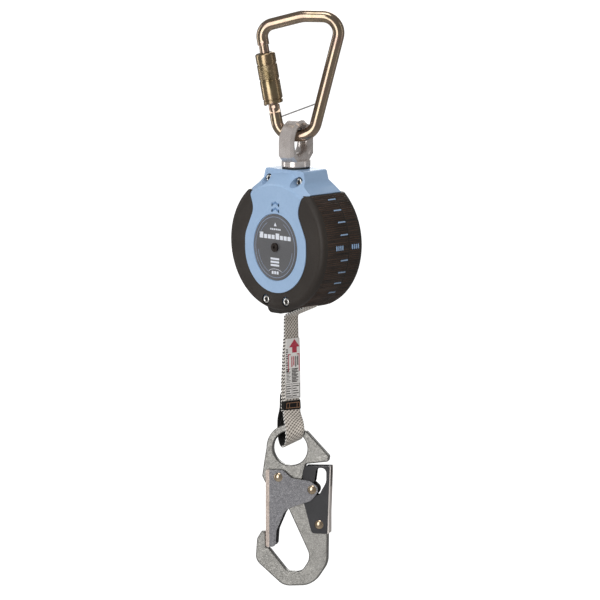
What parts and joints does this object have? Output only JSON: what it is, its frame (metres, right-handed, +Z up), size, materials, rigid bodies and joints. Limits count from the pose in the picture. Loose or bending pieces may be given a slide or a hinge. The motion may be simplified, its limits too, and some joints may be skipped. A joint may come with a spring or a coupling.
{
  "type": "self retracting lifeline",
  "caption": "Self retracting lifeline: locking carabiner on a swivel eye, round two-tone drum housing, short webbing with a label sleeve and a double-action snap hook.",
  "frame": {"origin": "inner top of the carabiner's bow, where the anchor carries it", "axes": "+Z up along the load line and the swivel's axis, the drum's axis along Y, the labelled front facing -Y"},
  "size_m": [0.1156, 0.0537, 0.503],
  "materials": {
    "zinc_steel": "yellow zinc plated forged steel, satin",
    "sleeve_zinc": "yellow zinc plated, knurled",
    "satin_steel": "satin nickel plated steel",
    "seal_rubber": "matt black",
    "blue_plastic": "moulded light steel-blue plastic",
    "skin_rubber": "brown-black overmoulded rubber, satin",
    "guide_plastic": "black moulded plastic",
    "screw_steel": "dark plated steel",
    "insert_brass": "turned brass",
    "label_dark": "dark grey printed label, satin",
    "bracket_steel": "pressed zinc plated steel",
    "bush_bronze": "sintered bronze",
    "shaft_steel": "ground steel",
    "drum_plastic": "black moulded plastic",
    "webbing": "grey twill face, black selvedge",
    "friction_lining": "pressed friction lining",
    "brake_steel": "hardened steel",
    "spring_steel": "blued spring steel",
    "label_white": "white printed sleeve",
    "keeper_black": "black keeper and wear pad",
    "hook_steel": "galvanised forged steel",
    "gate_steel": "pressed zinc plated steel",
    "lever_dark": "anthracite coated steel",
    "rivet_gold": "yellow zinc plated, domed"
  },
  "bodies": {
    "carabiner": {"carabiner_frame": "zinc_steel", "gate_hinge_pin": "zinc_steel", "nose_rivet": "zinc_steel", "captive_wire_pin": "satin_steel"},
    "gate": {"carabiner_gate": "zinc_steel", "gate_plunger": "shaft_steel", "gate_spring": "spring_steel"},
    "twist_sleeve": {"lock_sleeve": "sleeve_zinc", "sleeve_balls": "zinc_steel", "sleeve_spring": "spring_steel"},
    "swivel": {"swivel_eye": "satin_steel", "swivel_seal": "seal_rubber", "swivel_nut": "bracket_steel"},
    "housing": {"front_housing": "blue_plastic", "rear_housing": "blue_plastic", "front_overmould": "skin_rubber", "rear_overmould": "skin_rubber", "exit_guide": "guide_plastic", "housing_screws": "screw_steel", "threaded_inserts": "insert_brass", "front_label": "label_dark", "rear_label": "label_dark", "label_screw": "screw_steel", "anchor_bracket": "bracket_steel", "front_bush": "bush_bronze", "rear_bush": "bush_bronze", "thrust_washer": "bush_bronze", "friction_discs": "friction_lining", "pressure_plate": "bracket_steel", "brake_screws": "screw_steel", "mainspring": "spring_steel", "spring_case": "drum_plastic", "spring_cover": "bracket_steel", "webbing_exit": "webbing"},
    "brake_ring": {"ratchet_ring": "brake_steel"},
    "drum": {"main_shaft": "shaft_steel", "web_drum": "drum_plastic", "webbing_roll": "webbing", "pawl_carrier": "brake_steel", "pawl_pins": "shaft_steel"},
    "pawl_a": {"pawl_1": "brake_steel"},
    "pawl_b": {"pawl_2": "brake_steel"},
    "lifeline": {"webbing_leader": "webbing", "webbing_middle": "webbing", "label_sleeve": "label_white", "webbing_loop": "webbing", "web_keeper": "keeper_black", "wear_pad": "keeper_black"},
    "hook": {"hook_frame": "hook_steel", "gate_pivot_rivet": "rivet_gold", "lever_pivot_rivet": "rivet_gold", "hook_gate_spring": "spring_steel"},
    "hook_gate": {"hook_gate": "gate_steel", "gate_lock_rivet": "rivet_gold"},
    "lever": {"lock_lever": "lever_dark"}
  },
  "joints": [
    {"name": "eye_swing", "type": "hinge", "parent": "carabiner", "child": "swivel", "pos_m": [0, 0, -0.0978], "axis": [0.809, 0.5878, 0], "range_deg": [-40, 40]},
    {"name": "housing_swivel", "type": "hinge", "parent": "swivel", "child": "housing", "pos_m": [0, 0, -0.132], "axis": [0, 0, 1], "continuous": true},
    {"name": "web_payout", "type": "slide", "parent": "housing", "child": "lifeline", "axis": [0, 0, -1], "range_m": [0, 1.7], "stiffness_N_per_m": 8, "springref_m": -1.4, "deforming": ["webbing_leader"]},
    {"name": "drum_spin", "type": "hinge", "parent": "housing", "child": "drum", "pos_m": [0, 0, -0.19], "axis": [0, 1, 0], "continuous": true},
    {"name": "brake_slip", "type": "hinge", "parent": "housing", "child": "brake_ring", "pos_m": [0, -0.016, -0.19], "axis": [0, 1, 0], "continuous": true},
    {"name": "pawl_a_swing", "type": "hinge", "parent": "drum", "child": "pawl_a", "pos_m": [0.017, -0.0166, -0.19], "axis": [0, -1, 0], "range_deg": [0, 8], "stiffness_Nm_per_rad": 0.02, "springref_deg": -17.19},
    {"name": "pawl_b_swing", "type": "hinge", "parent": "drum", "child": "pawl_b", "pos_m": [-0.017, -0.0166, -0.19], "axis": [0, -1, 0], "range_deg": [0, 8], "stiffness_Nm_per_rad": 0.02, "springref_deg": -17.19},
    {"name": "hook_swing", "type": "hinge", "parent": "lifeline", "child": "hook", "pos_m": [-0.006, -0.0002, -0.3545], "axis": [0.8387, 0.5446, 0], "range_deg": [-25, 25]},
    {"name": "hook_gate_swing", "type": "hinge", "parent": "hook", "child": "hook_gate", "pos_m": [-0.01422, -0.00554, -0.3962], "axis": [0.5446, -0.8387, 0], "range_deg": [0, 30], "stiffness_Nm_per_rad": 0.08, "springref_deg": -28.65},
    {"name": "lock_lever_swing", "type": "hinge", "parent": "hook", "child": "lever", "pos_m": [0.01572, 0.01391, -0.4368], "axis": [0.5446, -0.8387, 0], "range_deg": [0, 10]},
    {"name": "carabiner_gate_swing", "type": "hinge", "parent": "carabiner", "child": "gate", "pos_m": [-0.01541, -0.0112, -0.0725], "axis": [-0.5878, 0.809, 0], "range_deg": [0, 20], "stiffness_Nm_per_rad": 0.08, "springref_deg": -28.65},
    {"name": "lock_sleeve_twist", "type": "hinge", "parent": "gate", "child": "twist_sleeve", "pos_m": [-0.01541, -0.0112, -0.0725], "axis": [-0.1402, -0.1019, 0.9849], "range_deg": [0, 90], "stiffness_Nm_per_rad": 0.01, "springref_deg": -28.65}
  ],
  "couplings": [
    {"joint": "drum_spin", "follows": "web_payout", "rad_per_m": 33},
    {"joint": "lock_lever_swing", "follows": "hook_gate_swing", "ratio": 0.33333}
  ]
}
